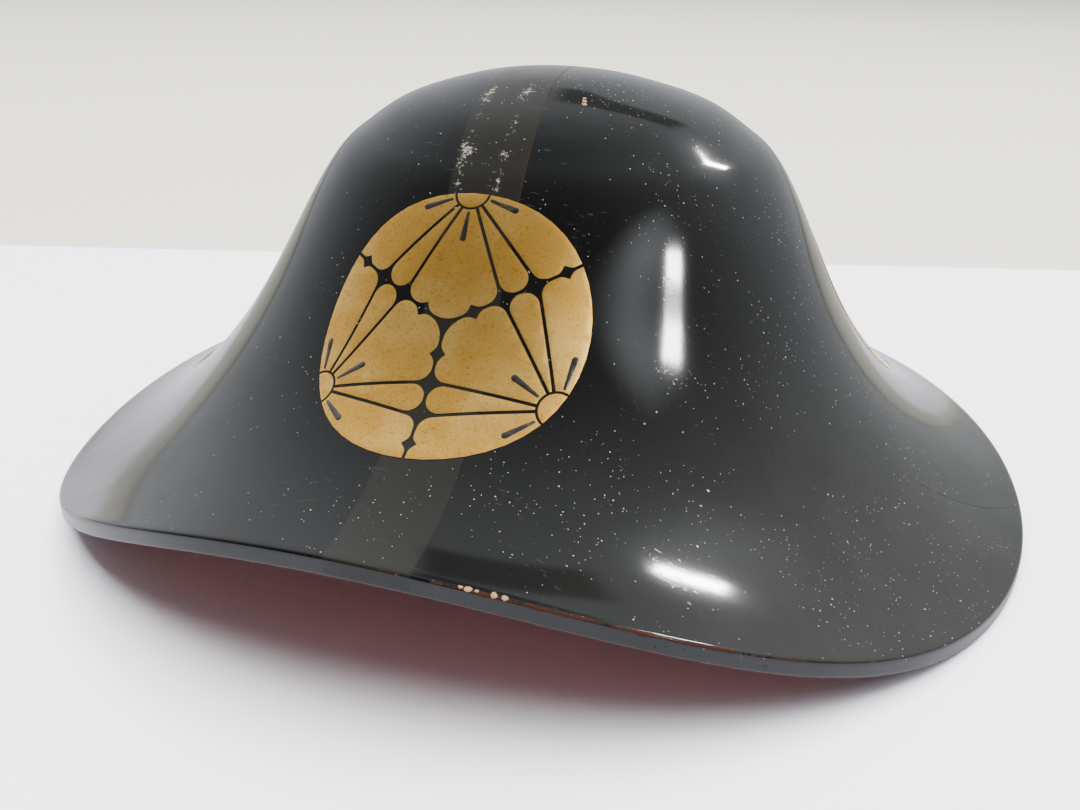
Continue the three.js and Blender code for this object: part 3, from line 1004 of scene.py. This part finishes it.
# One crest: petals and roots of gold leaf with black strokes on them, cut into cells, given
# walls down to the lacquer, and wrapped onto the hat
def makeCrest(place, materials, values):
    strokes = {**values, "border": values["stamenRise"], "borderDrop": values["stamenRise"] / 2}
    bm = bmesh.new()
    bm.verts.layers.float.new("rim")
    bm.verts.layers.float.new("rise")
    for mesh in (
        layout(flowerOutlines(values), values["top"], 0, values),
        layout(stamenOutlines(values), values["top"] + values["stamenRise"], 1, strokes),
    ):
        bm.from_mesh(mesh)
        bpy.data.meshes.remove(mesh)
    rise = bm.verts.layers.float["rise"]
    radius = values["radius"]
    steps = math.ceil(radius / values["cell"])
    for axis in (Vector((1, 0, 0)), Vector((0, 1, 0))):
        for step in range(-steps, steps + 1):
            parts = bm.verts[:] + bm.edges[:] + bm.faces[:]
            bmesh.ops.bisect_plane(bm, geom=parts, plane_co=axis * step * values["cell"], plane_no=axis)
    for face in bm.faces:
        face.smooth = True
    outside = [edge for edge in bm.edges if edge.is_boundary]
    for edge in outside:
        edge.smooth = False
    walls = bmesh.ops.extrude_edge_only(bm, edges=outside)
    for item in walls["geom"]:
        if isinstance(item, bmesh.types.BMVert):
            item[rise] = values["low"]

    flat = np.array([vert.co[:2] for vert in bm.verts])
    away = np.array([vert[rise] for vert in bm.verts])
    inwards = np.clip(1 - (flat ** 2).sum(1) / radius ** 2, 0, 1)
    drawn = flat + np.array(values["middleShift"]) * inwards[:, None]
    drawn = turned(drawn, math.radians(place["lean"]))
    for vert, point in zip(bm.verts, wrap(drawn, away, place, values)):
        vert.co = Vector(point) * mm
    bmesh.ops.recalc_face_normals(bm, faces=bm.faces)
    crest = newObject(place["name"], bm)
    for material in materials:
        crest.data.materials.append(material)
    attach(crest, "root")
    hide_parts(place["node"])


def makeCrests(values):
    materials = [goldLeaf(goldValues), strokeLacquer(strokeValues)]
    for place in values["places"]:
        makeCrest(place, materials, values)


cameraValues = {
    "place": (112.54, -390.64, 190.32),
    "azimuth": 17.125,
    "elevation": 23.739,
    "roll": 1.337,
    "focal": 1056.8,
    "pictureWidth": 1080,
    "sensor": 36,
}


def makeCamera(values):
    azimuth = math.radians(values["azimuth"])
    elevation = math.radians(values["elevation"])
    level = math.cos(elevation)
    back = Vector((math.sin(azimuth) * level, -math.cos(azimuth) * level, math.sin(elevation)))
    right = Vector((math.cos(azimuth), math.sin(azimuth), 0))
    facing = Matrix((right, back.cross(right), back)).transposed().to_4x4()
    roll = Matrix.Rotation(math.radians(values["roll"]), 4, "Z")
    data = bpy.data.cameras.new("camera")
    data.sensor_width = values["sensor"]
    data.lens = values["focal"] / values["pictureWidth"] * values["sensor"]
    data.clip_start = 0.01
    camera = bpy.data.objects.new("camera", data)
    bpy.context.scene.collection.objects.link(camera)
    camera.matrix_world = Matrix.Translation(Vector(values["place"]) * mm) @ facing @ roll
    bpy.context.scene.camera = camera


# Lamps by the directions of their two ends from the hat, as azimuth and elevation: azimuth 0 is
# towards the front and 90 to the wearer's left. A lamp lights either the gloss or the rest.
lightValues = {
    "lamps": [
        {"ends": ((145, 44), (142, 36.5)), "wide": 2.3, "radiance": 560, "gloss": True},
        {"ends": ((77.3, 40.4), (82.7, 37.6)), "wide": 3.6, "radiance": 380, "gloss": True},
        {"ends": ((60, 55), (-120, 65)), "wide": 55, "radiance": 18, "gloss": False},
    ],
    "away": 4000,
    "aimHeight": 70,
    "skyColour": "#e4e8ee",
    "skyFront": 0.32,
    "skyBack": 2.5,
    "skyFrom": -0.45,
    "skyTo": 0.6,
    "patches": [
        {"azimuth": 179, "elevation": 43, "width": 30, "height": 10, "light": 0.3, "sharp": 0.7},
        {"azimuth": 64, "elevation": 46, "width": 40, "height": 20, "light": 17, "sharp": 0},
        {"azimuth": 138, "elevation": 42, "width": 34, "height": 28, "light": 2.2, "sharp": 0},
    ],
}


def direction(azimuth, elevation):
    azimuth = math.radians(azimuth)
    elevation = math.radians(elevation)
    level = math.cos(elevation)
    return Vector((math.sin(azimuth) * level, -math.cos(azimuth) * level, math.sin(elevation)))


# The room as the lacquer mirrors it: bright behind the hat and dim in front, with a dim opening
# high up behind and a glow round each lamp
def roomLight(values):
    world = bpy.data.worlds.new("studio")
    world.use_nodes = True
    tree = world.node_tree
    tree.nodes.clear()
    way = add(tree, "TexCoord", (), give="Generated")
    backwards = add(tree, "SeparateXYZ", (way,), give=1)
    share = add(tree, "MapRange", (backwards, values["skyFrom"], values["skyTo"]), "SMOOTHSTEP")
    front = values["skyFront"]
    light = add(tree, "Math", (share, values["skyBack"] - front, front), "MULTIPLY_ADD")
    for patch in values["patches"]:
        middle = direction(patch["azimuth"], patch["elevation"])
        sideways = middle.cross(Vector((0, 0, 1))).normalized()
        facing = add(tree, "VectorMath", (way, tuple(middle)), "DOT_PRODUCT", "Value")
        inside = add(tree, "MapRange", (facing, 0, 0.1), "SMOOTHSTEP")
        for axis, size in ((sideways, patch["width"]), (sideways.cross(middle), patch["height"])):
            off = add(tree, "VectorMath", (way, tuple(axis)), "DOT_PRODUCT", "Value")
            off = add(tree, "Math", (off,), "ABSOLUTE")
            half = math.sin(math.radians(size / 2))
            withinSide = add(tree, "MapRange", (off, half, half * patch["sharp"]), "SMOOTHSTEP")
            inside = add(tree, "Math", (inside, withinSide), "MULTIPLY")
        kept = add(tree, "Math", (inside, patch["light"] - 1, 1), "MULTIPLY_ADD")
        light = add(tree, "Math", (light, kept), "MULTIPLY")
    sockets = {"Color": srgb(values["skyColour"]), "Strength": light}
    add(tree, "OutputWorld", {"Surface": add(tree, "Background", sockets)})
    bpy.context.scene.world = world


def makeLights(values):
    for lamp in values["lamps"]:
        start, end = [direction(*angles) for angles in lamp["ends"]]
        away = values["away"] * mm
        middle = (start + end).normalized()
        along = (start - end).normalized()
        data = bpy.data.lights.new("softBox", "AREA")
        data.shape = "RECTANGLE"
        data.size = (start - end).length * away
        data.size_y = math.radians(lamp["wide"]) * away
        data.energy = lamp["radiance"] * math.pi * data.size * data.size_y
        light = bpy.data.objects.new("softBox", data)
        facing = Matrix((along, middle.cross(along), middle)).transposed().to_4x4()
        aim = Vector((0, 0, values["aimHeight"] * mm))
        light.matrix_world = Matrix.Translation(aim + middle * away) @ facing
        light.visible_glossy = lamp["gloss"]
        light.visible_diffuse = not lamp["gloss"]
        bpy.context.scene.collection.objects.link(light)
    roomLight(values)


stageValues = {
    "floorWidth": 3000,
    "seamFromCamera": 672,
    "backdropWidth": 14000,
    "floorColour": "#ebebf1",
    "backdropColour": "#c2beb3",
    "weaveLength": 1.2,  # three times the real thread's spacing, so that it shows
    "weaveDepth": 0.05,
}


# Plain woven cloth: matt, with a fine even grain
def plainCloth(name, colour, values):
    material, tree = newMaterial(name)
    coords = add(tree, "TexCoord", (), give="Object")
    weave = add(
        tree, "TexNoise", {"Vector": coords, "Scale": 1 / (values["weaveLength"] * mm), "Detail": 2}
    )
    height = add(tree, "Math", (weave, values["weaveDepth"]), "MULTIPLY")
    bump = add(tree, "Bump", {"Height": height, "Distance": mm, "Strength": 1.0})
    finishMaterial(tree, {"Base Color": srgb(colour), "Roughness": 0.85, "Normal": bump})
    return material


# A white floor under the hat, and a cream backdrop that lies flat beyond a straight seam, so
# that it fills the picture behind the hat and hides nothing from any other side
def makeStage(values):
    azimuth = math.radians(cameraValues["azimuth"])
    heading = Vector((-math.sin(azimuth), math.cos(azimuth), 0))
    place = Vector((cameraValues["place"][0], cameraValues["place"][1], 0)) * mm
    seam = place + heading * values["seamFromCamera"] * mm
    floorHalf = values["floorWidth"] * mm / 2
    backHalf = values["backdropWidth"] * mm / 2
    for name, colour, middle, half in (
        ("floor", values["floorColour"], seam - heading * floorHalf, floorHalf),
        ("backdrop", values["backdropColour"], seam + heading * backHalf, backHalf),
    ):
        bm = bmesh.new()
        bmesh.ops.create_grid(bm, x_segments=8, y_segments=8, size=half)
        bm.transform(Matrix.Translation(middle) @ Matrix.Rotation(azimuth, 4, "Z"))
        thing = newObject(name, bm)
        thing.data.materials.append(plainCloth(name + "Cloth", colour, values))


print("scene: shell")
makeShell(shellValues)
print("scene: crests")
makeCrests(crestValues)
print("scene: camera, lights and stage")
makeCamera(cameraValues)
makeLights(lightValues)
makeStage(stageValues)
